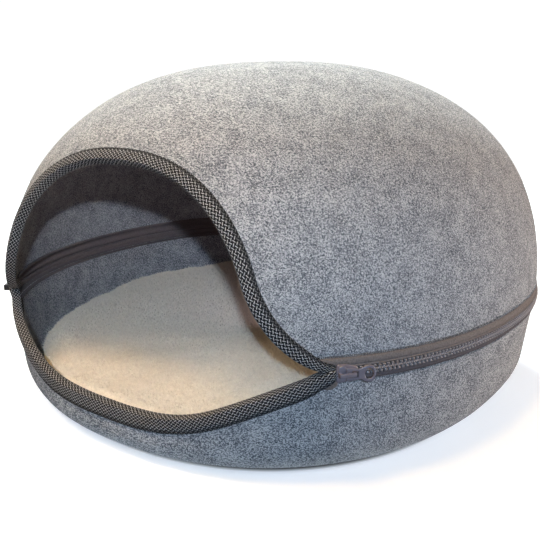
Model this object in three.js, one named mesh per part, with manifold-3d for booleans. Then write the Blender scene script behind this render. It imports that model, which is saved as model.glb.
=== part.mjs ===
// Felt cat cave: a felt dome zipped to a felt base, with a bound doorway and a fleece cushion inside.
// Millimetres, +Z up, floor at Z 0. The doorway faces -Y. A turn runs round the plan from the doorway's
// middle towards +X.
import * as THREE from 'three';
import { mergeVertices } from 'three/addons/utils/BufferGeometryUtils.js';
import Module from 'manifold-3d';

const wasm = await Module();
wasm.setup();

// The whole cave
const HALF_WIDTH = 230;
const HALF_DEPTH = 238;
const HEIGHT = 284;
const ZIP_HEIGHT = 87;
const PLAN_POWER = 2.2; // 2 is an ellipse, more is squarer
const EGG = 0.04; // how much the back half is wider than the middle
const DOME_POWER = 2.32;
const CROWN_SHIFT = 9.5; // the crown lies this far behind the middle
const WALL_LEAN = 11; // the base narrows by this much on its way to the floor
const FLOOR_EDGE_RADIUS = 34;
const DOORWAY_DRAW = 17; // the free front wall is drawn in this far
const DRAW_TURN = THREE.MathUtils.degToRad(48);
const DRAW_HEIGHT = 38;

// Felt and its edges
const FELT = 5;
const UPPER_TAPE_SHOWS = 10.4; // from the middle of the chain to the felt's edge
const LOWER_TAPE_SHOWS = 8;
const DOME_EDGE = ZIP_HEIGHT + UPPER_TAPE_SHOWS;
const BASE_EDGE = ZIP_HEIGHT - LOWER_TAPE_SHOWS;

// Half of the doorway's felt edges, as cubic curves of turn in degrees against height
const ARCH_SHOULDER = [
  { turn: 0, height: 214.5 },
  { turn: 12.2, height: 214.5 },
  { turn: 25.7, height: 200.5 },
  { turn: 30.8, height: 146.5 },
];
const ARCH_FLARE = [
  { turn: 30.8, height: 146.5 },
  { turn: 34.3, height: 108.5 },
  { turn: 42.6, height: 88.2 },
  { turn: 46, height: 88.2 },
];
const DIP = [
  { turn: 0, height: 36.5 },
  { turn: 24.7, height: 36.5 },
  { turn: 21.8, height: 51.5 },
  { turn: 47.5, height: 86.3 },
];

// Woven binding, folded over the doorway's edges
const BINDING = 1;
const FIT = 0.3; // clearance between neighbouring pieces
const ARCH_FACE = 9.5;
const DIP_FACE = 10.8;
const ARCH_END = 45.4;
const DIP_END = 45.2;
const FACE_SWELL = 0.2; // each face swells this much, most at a share of its width
const FACE_SWELL_AT = 0.6;
const FOLD_START = 0.2; // the fold leaves the felt's face this far past its cut edge
const FOLD_ROUND = 0.9; // the fold's reach near its corners, as a share of its middle's
const FOLD_CORNER = 0.05; // how far from the felt's faces that is, as a share of the felt
const FACE_TAPER = 0.2; // share of its face that the binding loses at its ends
const FACE_TAPER_TURN = 40;
const STRIP_EXTRA = 0.6; // the felt's first row of facets lies this far past the binding

// Zip, closed from its slider round the back to its end box
const TAPE = 0.8;
const UPPER_TAPE_LAP = 3; // how far a tape laps over the inside of its felt
const LOWER_TAPE_LAP = 1.2;
const UPPER_TAPE_INSIDE = 6.7; // depth of the sewn edge behind the cave's outline
const LOWER_TAPE_INSIDE = 8.2;
const TAPE_PROUD = 0.5;
// Bends of a tape: past the felt's edge, and how far out from the sewn edge towards the chain
const TAPE_BENDS = [
  { past: 0.8, share: 0 },
  { past: -0.7, share: 0.1 },
  { past: -2.2, share: 0.9 },
];
const TAPE_START = 46;
const ZIP_CORNER = 46.6;
const CHAIN_HALF = 2.6;
const CHAIN_GAP = 0.4;
const CHAIN_BEVEL = 0.65;
const CHAIN_WIDEST = 0.3; // how far out the chain is widest
const CHAIN_OUT = 2;
const CHAIN_IN = 1.2;
const CHAIN_LEAST_STEP = 1; // degrees
const SLIDER_TURN = 49;
const SLIDER_LENGTH = 14;
const SLIDER_MOUTH = 12.6;
const SLIDER_TAIL = 9;
const SLIDER_CORNER = 2;
const SLIDER_WAIST = 1; // where the sides of the plates turn in
const SLIDER_POST = { start: -4, end: 2, half: 1.8 };
const SLIDER_BACK = 0.72; // the back plate's height as a share of the front plate's
const SLIDER_PLATE = 2;
const SLIDER_SLOT = 3;
const BRIDGE_LENGTH = 11.4;
const BRIDGE_WIDTH = 2.8;
const BRIDGE_RISE = 4.4;
const BRIDGE_BAR = 1.4;
const BRIDGE_FOOT = 1.8;
const BRIDGE_SHIFT = -0.4; // the bridge's middle from the slider's
const PULL = 1.5;
const PULL_HALF = [
  { along: 0, half: 4.1 },
  { along: 3, half: 4.5 },
  { along: 9, half: 3.7 },
  { along: 12.2, half: 5.2 },
  { along: 15.3, half: 6 },
  { along: 18.4, half: 4.5 },
  { along: 19.8, half: 0 },
];
const PULL_SLOT = { start: 2, end: 8, half: 2.2 };
const PULL_RING = { along: 15.3, halfLong: 2.9, halfHigh: 3.7 };
const PULL_SHIFT = -1.2; // the pull's near end from the slider's middle
const PULL_LIFT = 1.7; // from the slider's front plate to the middle of the pull
const PULL_TILT = THREE.MathUtils.degToRad(5.5);
const END_BOX = { long: 6, deep: 10, high: 5.2, out: 3.6 };
const END_TURN = -46.8;
const CHAIN_START = SLIDER_TURN + 1.9;
const CHAIN_END = 360 + END_TURN - 0.9;

// Cushion: the sides follow the base, and the top is crowned. Reach is a share of the widest outline.
const CUSHION_GAP = 2.2; // between the sides and the base
const CUSHION_SIDE = 26; // height up to which the sides follow the base
const CUSHION_TILT = 5; // the back of the top lies this much above its middle
const CUSHION_WINGS = 7; // and its left and right sides rise along the walls
const CUSHION_TOP = [
  { reach: 0.99, height: 33 },
  { reach: 0.965, height: 38 },
  { reach: 0.91, height: 41.5 },
  { reach: 0.75, height: 44.5 },
  { reach: 0.45, height: 46.5 },
  { reach: 0, height: 47 },
];

// Steps of the faceted faces
const DOME_ROWS = 9;
const WALL_ROWS = 6;
const FLOOR_STEPS = [0.66, 0.5, 0]; // each floor ring as a share of the one before
const RING_STEPS = 36;
const WIDE_CORNER = 5; // a wider step than this beside the doorway gets one more column
const SHOULDER_STEPS = 11;
const FLARE_STEPS = 9;
const DIP_STEPS = 14;
const PULL_STEPS = 18;
const CURVE_STEPS = 8;
const CUSHION_STEP = 9; // degrees
const CUSHION_RING = 0.5; // a ring of the underside, as a share of its edge
const CUSHION_SIDE_STEPS = [0.25, 0.5, 0.75, 1];

const DEGREE = Math.PI / 180;
const { lerp, smoothstep } = THREE.MathUtils;

function material(color, roughness) {
  return new THREE.MeshStandardMaterial({ color, roughness, metalness: 0 });
}

const felt = material(0x9a9c9e, 0.95);
const weave = material(0x2c2b2d, 0.8);
const tapeCloth = material(0x6a635d, 0.85);
const zipPlastic = material(0x5f5763, 0.45);
const fleece = material(0xe4d6bc, 1);

function signedPower(value, exponent) {
  return Math.sign(value) * Math.abs(value) ** exponent;
}

// The cave's outline in plan, drawn in by an inset
function planPoint(turn, inset) {
  const y = -(HALF_DEPTH - inset) * signedPower(Math.cos(turn), 2 / PLAN_POWER);
  const side = (HALF_WIDTH - inset) * signedPower(Math.sin(turn), 2 / PLAN_POWER);
  return new THREE.Vector2(side * (1 + (EGG * y) / HALF_DEPTH), y);
}

// The dome's outer face: rise is 0 at the zip and a quarter turn at the crown
function domePoint(turn, rise) {
  const lift = signedPower(Math.sin(rise), 2 / DOME_POWER);
  const reach = Math.max(0, Math.cos(rise)) ** (2 / DOME_POWER);
  const plan = planPoint(turn, 0).multiplyScalar(reach);
  const height = ZIP_HEIGHT + (HEIGHT - ZIP_HEIGHT) * lift;
  return new THREE.Vector3(plan.x, plan.y + CROWN_SHIFT * lift, height);
}

function riseAt(height) {
  const lift = Math.max(0, (height - ZIP_HEIGHT) / (HEIGHT - ZIP_HEIGHT));
  return Math.asin(lift ** (DOME_POWER / 2));
}

// The base's outer face: climb is the length up the wall from the flat of the floor
const FLOOR_EDGE_LENGTH = (FLOOR_EDGE_RADIUS * Math.PI) / 2;

function basePoint(turn, climb) {
  const bend = Math.min(climb / FLOOR_EDGE_RADIUS, Math.PI / 2);
  const straight = Math.max(0, climb - FLOOR_EDGE_LENGTH);
  const height = FLOOR_EDGE_RADIUS * (1 - Math.cos(bend)) + straight;
  const lean = WALL_LEAN * (1 - height / ZIP_HEIGHT);
  const point = planPoint(turn, lean + FLOOR_EDGE_RADIUS * (1 - Math.sin(bend)));
  const facing = Math.atan2(point.x, -point.y);
  const share = 1 - smoothstep(Math.abs(facing), 0, DRAW_TURN);
  const draw = DOORWAY_DRAW * share * smoothstep(height, 0, DRAW_HEIGHT);
  const outward = new THREE.Vector2(point.x / HALF_WIDTH ** 2, point.y / HALF_DEPTH ** 2).normalize();
  point.addScaledVector(outward, -draw);
  return new THREE.Vector3(point.x, point.y, height);
}

function climbAt(height) {
  if (height >= FLOOR_EDGE_RADIUS) {
    return FLOOR_EDGE_LENGTH + height - FLOOR_EDGE_RADIUS;
  }
  return FLOOR_EDGE_RADIUS * Math.acos(1 - height / FLOOR_EDGE_RADIUS);
}

// The directions of a face at a turn and a rise or climb: across for the turn, upward for the rise or climb
function directionsAt(face, turn, along) {
  const step = 0.01;
  const across = face(turn + step, along).sub(face(turn - step, along)).divideScalar(2 * step);
  const upward = face(turn, along + step).sub(face(turn, along - step)).divideScalar(2 * step);
  const outward = across.clone().cross(upward);
  const flat = outward.length() < 1e-6;
  return { across, upward, outward: flat ? new THREE.Vector3(0, 0, 1) : outward.normalize() };
}

function behind(face, turn, along, depth) {
  return face(turn, along).addScaledVector(directionsAt(face, turn, along).outward, -depth);
}

// Where a step over a face ends, as a turn and a rise or climb
function walk(face, turn, along, step) {
  const { across, upward } = directionsAt(face, turn, along);
  const [aa, ab, bb] = [across.dot(across), across.dot(upward), upward.dot(upward)];
  const [as, bs] = [across.dot(step), upward.dot(step)];
  const share = aa * bb - ab * ab;
  return { turn: turn + (as * bb - bs * ab) / share, along: along + (bs * aa - as * ab) / share };
}

// One closed skin from an index list. Points that fall together are merged and flat triangles dropped.
function closedSkin(points, triangles) {
  const loose = new THREE.BufferGeometry();
  const numbers = points.flatMap((point) => point.toArray());
  loose.setAttribute('position', new THREE.Float32BufferAttribute(numbers, 3));
  loose.setIndex(triangles.flat());
  const merged = mergeVertices(loose, 1e-3);
  const index = merged.getIndex().array;
  const place = merged.getAttribute('position');
  const kept = [];
  let volume = 0;
  for (let i = 0; i < index.length; i += 3) {
    const [a, b, c] = [index[i], index[i + 1], index[i + 2]];
    if (a !== b && b !== c && c !== a) {
      const corners = [a, b, c].map((k) => new THREE.Vector3().fromBufferAttribute(place, k));
      volume += corners[0].dot(corners[1].cross(corners[2]));
      kept.push([a, b, c]);
    }
  }
  merged.setIndex(kept.flatMap(([a, b, c]) => (volume < 0 ? [a, c, b] : [a, b, c])));
  merged.computeVertexNormals();
  return merged;
}

// Joins closed loops of points, one after another, either round to the first or capped at both ends
function loft(loops, capFaces) {
  const count = loops[0].length;
  const spans = capFaces ? loops.length - 1 : loops.length;
  const triangles = [];
  for (let i = 0; i < spans; i += 1) {
    const here = i * count;
    const next = ((i + 1) % loops.length) * count;
    for (let j = 0; j < count; j += 1) {
      const k = (j + 1) % count;
      triangles.push([here + j, next + j, next + k], [here + j, next + k, here + k]);
    }
  }
  const last = (loops.length - 1) * count;
  for (const [a, b, c] of capFaces ?? []) {
    triangles.push([a, b, c], [last + a, last + c, last + b]);
  }
  return closedSkin(loops.flat(), triangles);
}

// Cap triangles of a section that is wound as its first loop is
function capsOf(section) {
  const flat = section.map(([across, along]) => new THREE.Vector2(across, along));
  const turned = THREE.ShapeUtils.isClockWise(flat);
  const order = flat.map((point, i) => i);
  const outline = turned ? [...flat].reverse() : flat;
  const names = turned ? order.reverse() : order;
  return THREE.ShapeUtils.triangulateShape(outline, []).map((face) => {
    const [a, b, c] = face.map((k) => names[k]);
    return turned ? [a, c, b] : [a, b, c];
  });
}

// The doorway's edges, from the left corner over the middle to the right corner
function bezier(rows) {
  return new THREE.CubicBezierCurve(...rows.map((row) => new THREE.Vector2(row.turn, row.height)));
}

function halfEdge(parts) {
  const points = [];
  for (const [rows, steps] of parts) {
    points.push(...bezier(rows).getPoints(steps).slice(points.length ? 1 : 0));
  }
  return points;
}

function bothSides(half) {
  const mirrored = half.slice(1).reverse();
  return [...mirrored.map((point) => new THREE.Vector2(-point.x, point.y)), ...half];
}

// The part of a half edge up to where a test first fails, with the crossing point as its end
function cutWhere(half, crossing) {
  const end = half.findIndex((point) => crossing(point) > 0);
  if (end < 0) {
    return half;
  }
  const [before, after] = [half[end - 1], half[end]];
  const share = crossing(before) / (crossing(before) - crossing(after));
  return [...half.slice(0, end), before.clone().lerp(after, share)];
}

const archHalf = halfEdge([
  [ARCH_SHOULDER, SHOULDER_STEPS],
  [ARCH_FLARE, FLARE_STEPS],
]);
const dipHalf = halfEdge([[DIP, DIP_STEPS]]);

// Turns of the columns beside the zip, in degrees, shared by the felt, the tapes and the chain
const zipTurns = Array.from({ length: RING_STEPS + 1 }, (unused, i) =>
  lerp(ZIP_CORNER, 360 - ZIP_CORNER, i / RING_STEPS),
);

// Frames along a doorway edge of a face. Side tells on which hand the opening lies.
function edgeFrames(half, face, alongAt, side) {
  const path = bothSides(half).map(({ x, y }) => ({ turn: x * DEGREE, along: alongAt(y) }));
  const places = path.map(({ turn, along }) => face(turn, along));
  return path.map(({ turn, along }, i) => {
    const before = places[Math.max(i - 1, 0)];
    const after = places[Math.min(i + 1, places.length - 1)];
    const { outward } = directionsAt(face, turn, along);
    const opening = after.clone().sub(before).cross(outward).multiplyScalar(side).normalize();
    return { turn, along, opening };
  });
}

// Columns round the whole felt: the doorway's edge, then the level edge beside the zip.
// Each has its edge and the end of the strip that the binding covers.
function feltColumns(half, face, alongAt, side, margin, levelEdge) {
  const columns = edgeFrames(half, face, alongAt, side).map(({ turn, along, opening }) => ({
    edge: { turn, along },
    strip: walk(face, turn, along, opening.multiplyScalar(-margin)),
  }));
  const corner = half[half.length - 1].x;
  const halfway = (corner + ZIP_CORNER) / 2;
  const extra = ZIP_CORNER - corner > WIDE_CORNER ? [halfway] : [];
  for (const degrees of [...extra, ...zipTurns, ...extra.map((turn) => 360 - turn)]) {
    const turn = degrees * DEGREE;
    const edge = { turn, along: alongAt(levelEdge) };
    columns.push({ edge, strip: { turn, along: alongAt(levelEdge + side * margin) } });
  }
  return columns;
}

// A felt shell: each column runs from its edge over the strip and along the face to an end, and back inside
function feltLoop({ edge, strip }, face, rows, endAlong, floorReaches) {
  const outer = [face(edge.turn, edge.along)];
  const inner = [behind(face, edge.turn, edge.along, FELT)];
  for (let k = 0; k <= rows; k += 1) {
    const along = lerp(strip.along, endAlong, k / rows);
    outer.push(face(strip.turn, along));
    inner.unshift(behind(face, strip.turn, along, FELT));
  }
  for (const reach of floorReaches) {
    const [low, high] = [outer[outer.length - 1], inner[0]];
    outer.push(new THREE.Vector3(low.x * reach, low.y * reach, low.z));
    inner.unshift(new THREE.Vector3(high.x * reach, high.y * reach, high.z));
  }
  return [...outer, ...inner];
}

function feltDome() {
  const half = cutWhere(archHalf, (point) => DOME_EDGE - point.y);
  const columns = feltColumns(half, domePoint, riseAt, 1, ARCH_FACE + STRIP_EXTRA, DOME_EDGE);
  return loft(columns.map((column) => feltLoop(column, domePoint, DOME_ROWS, Math.PI / 2, [])));
}

function feltBase() {
  const half = cutWhere(dipHalf, (point) => point.y - BASE_EDGE);
  const columns = feltColumns(half, basePoint, climbAt, -1, DIP_FACE + STRIP_EXTRA, BASE_EDGE);
  return loft(columns.map((column) => feltLoop(column, basePoint, WALL_ROWS, 0, FLOOR_STEPS)));
}

// Section of the folded binding: reach goes past the felt's cut edge, lift goes out of its outer face
function bindingSection(face) {
  const out = FIT + BINDING;
  const back = -FELT - FIT;
  return [
    [-face, FIT],
    [-face, FIT + BINDING / 2],
    [-face * FACE_SWELL_AT, out + FACE_SWELL],
    [FOLD_START, out],
    [out * FOLD_ROUND, -FELT * FOLD_CORNER],
    [out, -FELT / 2],
    [out * FOLD_ROUND, -FELT * (1 - FOLD_CORNER)],
    [FOLD_START, back - BINDING],
    [-face * FACE_SWELL_AT, back - BINDING - FACE_SWELL],
    [-face, back - BINDING / 2],
    [-face, back],
    [FIT, back],
    [FIT, FIT],
  ];
}

function binding(half, width, face, alongAt, side) {
  const loops = edgeFrames(half, face, alongAt, side).map(({ turn, along, opening }) => {
    const taper = 1 - FACE_TAPER * smoothstep(Math.abs(turn / DEGREE), FACE_TAPER_TURN, ARCH_END);
    return bindingSection(width * taper).map(([reach, lift]) => {
      const spot = walk(face, turn, along, opening.clone().multiplyScalar(reach));
      return behind(face, spot.turn, spot.along, -lift);
    });
  });
  return loft(loops, capsOf(bindingSection(width)));
}

// Sweeps a section round the zip. Out is measured from the cave's outline, away from the chain's middle.
function roundZip(section, turns) {
  const loops = turns.map((degrees) =>
    section.map(([out, away]) => {
      const plan = planPoint(degrees * DEGREE, -out);
      return new THREE.Vector3(plan.x, plan.y, ZIP_HEIGHT + away);
    }),
  );
  return loft(loops, capsOf(section));
}

// Zip tapes: side is 1 for the upper and -1 for the lower. Each comes out from behind its felt's edge.
function zipTape(side, inside, shows, lap) {
  const rows = [
    [-inside, shows + lap],
    ...TAPE_BENDS.map(({ past, share }) => [lerp(-inside, TAPE_PROUD, share), shows + past]),
    [TAPE_PROUD, CHAIN_HALF + CHAIN_GAP],
  ];
  const outer = rows.map(([out, away]) => [out + TAPE / 2, side * away]);
  const inner = rows.map(([out, away]) => [out - TAPE / 2, side * away]).reverse();
  return roundZip([...outer, ...inner], [TAPE_START, ...zipTurns, 360 - TAPE_START]);
}

// The closed rows of teeth, as one bead between the tapes
function zipChain(start, end) {
  const flat = CHAIN_HALF - CHAIN_BEVEL;
  const section = [
    [-CHAIN_IN, -flat],
    [-CHAIN_IN, flat],
    [CHAIN_WIDEST, CHAIN_HALF],
    [CHAIN_OUT, flat],
    [CHAIN_OUT, -flat],
    [CHAIN_WIDEST, -CHAIN_HALF],
  ];
  const [low, high] = [start + CHAIN_LEAST_STEP, end - CHAIN_LEAST_STEP];
  const between = zipTurns.filter((turn) => turn > low && turn < high);
  return roundZip(section, [start, ...between, end]);
}

// Joins solids that belong to one moulded piece
function joined(geometries) {
  const solids = geometries.map((geometry) => {
    geometry.deleteAttribute('normal');
    geometry.deleteAttribute('uv');
    const clean = mergeVertices(geometry, 1e-4);
    return new wasm.Manifold(
      new wasm.Mesh({
        numProp: 3,
        vertProperties: new Float32Array(clean.getAttribute('position').array),
        triVerts: new Uint32Array(clean.getIndex().array),
      }),
    );
  });
  const mesh = solids.reduce((whole, solid) => whole.add(solid)).getMesh();
  const geometry = new THREE.BufferGeometry();
  geometry.setAttribute('position', new THREE.BufferAttribute(mesh.vertProperties, 3));
  geometry.setIndex(new THREE.BufferAttribute(mesh.triVerts, 1));
  geometry.computeVertexNormals();
  return geometry;
}

// A plate that faces out of the cave: its outline runs along the zip and up, from one depth out to another
function plate(shape, from, to) {
  const options = { depth: to - from, bevelEnabled: false, curveSegments: CURVE_STEPS };
  const geometry = new THREE.ExtrudeGeometry(shape, options);
  geometry.translate(0, 0, from);
  geometry.rotateX(Math.PI / 2);
  return geometry;
}

function rectangle(left, right, low, high) {
  const shape = new THREE.Shape();
  shape.moveTo(left, low);
  shape.lineTo(right, low);
  shape.lineTo(right, high);
  shape.lineTo(left, high);
  shape.closePath();
  return shape;
}

// Slider: two shield-shaped plates on a post, so that the tapes run between them, and a bridge for the pull
const SLIDER_FRONT = TAPE_PROUD + SLIDER_SLOT / 2 + SLIDER_PLATE;

function shield(scale) {
  const [left, right] = [-SLIDER_LENGTH / 2, SLIDER_LENGTH / 2];
  const [mouth, tail] = [(SLIDER_MOUTH / 2) * scale, (SLIDER_TAIL / 2) * scale];
  const shape = new THREE.Shape();
  shape.moveTo(left + SLIDER_CORNER, -mouth);
  shape.quadraticCurveTo(SLIDER_WAIST, -mouth, right, -tail);
  shape.lineTo(right, tail);
  shape.quadraticCurveTo(SLIDER_WAIST, mouth, left + SLIDER_CORNER, mouth);
  shape.quadraticCurveTo(left, mouth, left, mouth - SLIDER_CORNER);
  shape.lineTo(left, SLIDER_CORNER - mouth);
  shape.quadraticCurveTo(left, -mouth, left + SLIDER_CORNER, -mouth);
  return shape;
}

function sliderBody() {
  const slotIn = TAPE_PROUD - SLIDER_SLOT / 2;
  const slotOut = TAPE_PROUD + SLIDER_SLOT / 2;
  const bite = 0.5; // how far joined solids run into each other
  const [start, end] = [BRIDGE_SHIFT - BRIDGE_LENGTH / 2, BRIDGE_SHIFT + BRIDGE_LENGTH / 2];
  const half = BRIDGE_WIDTH / 2;
  const crest = SLIDER_FRONT + BRIDGE_RISE;
  const post = rectangle(SLIDER_POST.start, SLIDER_POST.end, -SLIDER_POST.half, SLIDER_POST.half);
  return joined([
    plate(shield(1), slotOut, SLIDER_FRONT),
    plate(shield(SLIDER_BACK), slotIn - SLIDER_PLATE, slotIn),
    plate(post, slotIn - bite, slotOut + bite),
    plate(rectangle(start, start + BRIDGE_FOOT, -half, half), SLIDER_FRONT - bite, crest),
    plate(rectangle(end - BRIDGE_FOOT, end, -half, half), SLIDER_FRONT - bite, crest),
    plate(rectangle(start, end, -half, half), crest - BRIDGE_BAR, crest),
  ]);
}

// Pull: a waisted plate. Its near slot holds the bridge's foot, and its far end is a ring.
function pullPlate() {
  const half = PULL_HALF.map((row) => new THREE.Vector2(row.along, row.half));
  const upper = new THREE.SplineCurve(half).getPoints(PULL_STEPS);
  const lower = upper.slice(0, -1).map((point) => new THREE.Vector2(point.x, -point.y));
  const outline = new THREE.Shape([...lower, ...upper.reverse()]);
  const ring = new THREE.Path();
  ring.absellipse(PULL_RING.along, 0, PULL_RING.halfLong, PULL_RING.halfHigh, 0, 2 * Math.PI, true);
  const slot = rectangle(PULL_SLOT.start, PULL_SLOT.end, -PULL_SLOT.half, PULL_SLOT.half);
  outline.holes.push(ring, slot);
  return plate(outline, -PULL / 2, PULL / 2);
}

// A group on the zip: +X along the zip, -Y out of the cave
function zipPlace(turnDegrees) {
  const turn = turnDegrees * DEGREE;
  const place = planPoint(turn, 0);
  const ahead = planPoint(turn + 0.01, 0).sub(planPoint(turn - 0.01, 0));
  const group = new THREE.Group();
  group.position.set(place.x, place.y, ZIP_HEIGHT);
  group.rotation.z = Math.atan2(ahead.y, ahead.x);
  return group;
}

// Cushion, from the middle of its underside up its sides to its crown
function cushion() {
  const loops = [];
  const side = climbAt(CUSHION_SIDE);
  for (let degrees = 0; degrees < 360; degrees += CUSHION_STEP) {
    const turn = degrees * DEGREE;
    const foot = behind(basePoint, turn, 0, FELT + 2 * FIT);
    const middle = new THREE.Vector3(0, 0, foot.z);
    const loop = [middle, middle.clone().lerp(foot, CUSHION_RING), foot];
    for (const share of CUSHION_SIDE_STEPS) {
      loop.push(behind(basePoint, turn, side * share, FELT + CUSHION_GAP * Math.sqrt(share)));
    }
    const widest = loop[loop.length - 1];
    for (const { reach, height } of CUSHION_TOP) {
      const [x, y] = [widest.x * reach, widest.y * reach];
      const rise = (CUSHION_TILT * y) / HALF_DEPTH + CUSHION_WINGS * (x / HALF_WIDTH) ** 2;
      loop.push(new THREE.Vector3(x, y, height + rise));
    }
    loops.push(loop);
  }
  return loft(loops);
}

const cave = new THREE.Group();

function addPiece(name, geometry, finish, parent = cave) {
  const mesh = new THREE.Mesh(geometry, finish.clone());
  mesh.name = name;
  parent.add(mesh);
  return mesh;
}

addPiece('felt_dome', feltDome(), felt);
addPiece('felt_base', feltBase(), felt);

const archEdge = cutWhere(archHalf, (point) => point.x - ARCH_END);
const dipEdge = cutWhere(dipHalf, (point) => point.x - DIP_END);
addPiece('arch_binding', binding(archEdge, ARCH_FACE, domePoint, riseAt, 1), weave);
addPiece('dip_binding', binding(dipEdge, DIP_FACE, basePoint, climbAt, -1), weave);

addPiece('zip_tape_upper', zipTape(1, UPPER_TAPE_INSIDE, UPPER_TAPE_SHOWS, UPPER_TAPE_LAP), tapeCloth);
addPiece('zip_tape_lower', zipTape(-1, LOWER_TAPE_INSIDE, LOWER_TAPE_SHOWS, LOWER_TAPE_LAP), tapeCloth);
addPiece('zip_chain', zipChain(CHAIN_START, CHAIN_END), zipPlastic);

const sliderPlace = zipPlace(SLIDER_TURN);
addPiece('zip_slider', sliderBody(), zipPlastic, sliderPlace);
const pull = addPiece('zip_pull', pullPlate(), zipPlastic, sliderPlace);
pull.position.set(PULL_SHIFT, -SLIDER_FRONT - PULL_LIFT, 0);
pull.rotation.z = PULL_TILT;
cave.add(sliderPlace);

const endPlace = zipPlace(END_TURN);
const endBox = new THREE.BoxGeometry(END_BOX.long, END_BOX.deep, END_BOX.high);
addPiece('zip_end', endBox, zipPlastic, endPlace).position.y = -END_BOX.out;
cave.add(endPlace);

addPiece('cushion', cushion(), fleece);

export default cave;
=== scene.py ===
import math

import bmesh
import bpy
import numpy as np
from mathutils import Matrix, Vector, noise


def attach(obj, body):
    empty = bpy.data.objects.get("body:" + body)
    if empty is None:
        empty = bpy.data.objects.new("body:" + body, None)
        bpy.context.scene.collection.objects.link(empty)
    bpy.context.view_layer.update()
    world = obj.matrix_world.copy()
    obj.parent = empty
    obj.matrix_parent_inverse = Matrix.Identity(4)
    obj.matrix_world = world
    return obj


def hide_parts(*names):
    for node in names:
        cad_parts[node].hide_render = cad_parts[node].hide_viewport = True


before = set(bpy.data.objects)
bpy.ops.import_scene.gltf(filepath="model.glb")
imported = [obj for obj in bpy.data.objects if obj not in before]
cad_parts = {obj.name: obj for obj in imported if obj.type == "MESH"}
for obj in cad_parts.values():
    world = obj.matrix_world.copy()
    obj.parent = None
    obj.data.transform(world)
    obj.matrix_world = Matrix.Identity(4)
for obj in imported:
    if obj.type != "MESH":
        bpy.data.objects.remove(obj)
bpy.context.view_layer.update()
print("frame loaded")

# the cave's form, in metres; a turn runs round the plan from the doorway's middle towards +X
cave = {
    "halfWidth": 0.230,
    "halfDepth": 0.238,
    "height": 0.284,
    "zipHeight": 0.087,
    "planPower": 2.2,
    "egg": 0.04,
    "domePower": 2.32,
    "crownShift": 0.0095,
    "wallLean": 0.011,
    "floorEdge": 0.034,
    "doorwayDraw": 0.017,
    "drawTurn": math.radians(48),
    "drawHeight": 0.038,
    "felt": 0.005,
    "upperTapeShows": 0.0104,
    "lowerTapeShows": 0.008,
}

# half of the doorway's edges: turn in degrees and height in metres, as cubic curves
archCurves = [
    [(0, 0.2145), (12.2, 0.2145), (25.7, 0.2005), (30.8, 0.1465)],
    [(30.8, 0.1465), (34.3, 0.1085), (42.6, 0.0882), (46, 0.0882)],
    [(46, 0.0882), (46.5, 0.0882), (47, 0.0882), (47.5, 0.0882)],
]
dipCurves = [[(0, 0.0365), (24.7, 0.0365), (21.8, 0.0515), (47.5, 0.0863)]]


def signedPower(value, exponent):
    return np.sign(value) * np.abs(value) ** exponent


def smooth(value, low, high):
    share = np.clip((value - low) / (high - low), 0, 1)
    return share * share * (3 - 2 * share)


def planPoint(turn, inset):
    y = -(cave["halfDepth"] - inset) * signedPower(np.cos(turn), 2 / cave["planPower"])
    x = (cave["halfWidth"] - inset) * signedPower(np.sin(turn), 2 / cave["planPower"])
    return x * (1 + cave["egg"] * y / cave["halfDepth"]), y


def domePoint(turn, rise):
    lift = signedPower(np.sin(rise), 2 / cave["domePower"])
    reach = np.maximum(0, np.cos(rise)) ** (2 / cave["domePower"])
    x, y = planPoint(turn, 0)
    z = cave["zipHeight"] + (cave["height"] - cave["zipHeight"]) * lift
    return np.stack(np.broadcast_arrays(x * reach, y * reach + cave["crownShift"] * lift, z), -1)


def riseAt(height):
    lift = np.maximum(0, (height - cave["zipHeight"]) / (cave["height"] - cave["zipHeight"]))
    return np.arcsin(np.minimum(1, lift) ** (cave["domePower"] / 2))


def basePoint(turn, climb):
    radius = cave["floorEdge"]
    bend = np.minimum(climb / radius, math.pi / 2)
    height = radius * (1 - np.cos(bend)) + np.maximum(0, climb - radius * math.pi / 2)
    lean = cave["wallLean"] * (1 - height / cave["zipHeight"])
    x, y = planPoint(turn, lean + radius * (1 - np.sin(bend)))
    share = 1 - smooth(np.abs(np.arctan2(x, -y)), 0, cave["drawTurn"])
    draw = cave["doorwayDraw"] * share * smooth(height, 0, cave["drawHeight"])
    outX, outY = x / cave["halfWidth"] ** 2, y / cave["halfDepth"] ** 2
    size = np.hypot(outX, outY)
    return np.stack(np.broadcast_arrays(x - draw * outX / size, y - draw * outY / size, height), -1)


def climbAt(height):
    radius = cave["floorEdge"]
    curved = radius * np.arccos(1 - np.minimum(height, radius) / radius)
    return np.where(height >= radius, radius * math.pi / 2 + height - radius, curved)


def unit(vectors):
    return vectors / np.maximum(np.linalg.norm(vectors, axis=-1, keepdims=True), 1e-12)


# how a face runs at a turn and a rise or climb
def faceDirections(face, turn, along):
    turnStep = 0.01
    alongStep = 0.01 if face is domePoint else 0.00001
    across = (face(turn + turnStep, along) - face(turn - turnStep, along)) / (2 * turnStep)
    upward = (face(turn, along + alongStep) - face(turn, along - alongStep)) / (2 * alongStep)
    outward = np.cross(across, upward)
    flat = np.linalg.norm(outward, axis=-1, keepdims=True) < 1e-8
    outward = np.where(flat, np.array([0.0, 0.0, 1.0]), outward)
    return across, upward, unit(outward)


# a point past the face, lift metres out of it
def liftedPoint(face, turn, along, lift):
    return face(turn, along) + faceDirections(face, turn, along)[2] * np.asarray(lift)[..., None]


# where a step over a face ends
def walkFace(face, turn, along, step):
    across, upward, outward = faceDirections(face, turn, along)
    aa, ab, bb = (across * across).sum(-1), (across * upward).sum(-1), (upward * upward).sum(-1)
    sa, sb = (across * step).sum(-1), (upward * step).sum(-1)
    share = aa * bb - ab * ab
    return turn + (sa * bb - sb * ab) / share, along + (sb * aa - sa * ab) / share


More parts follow.
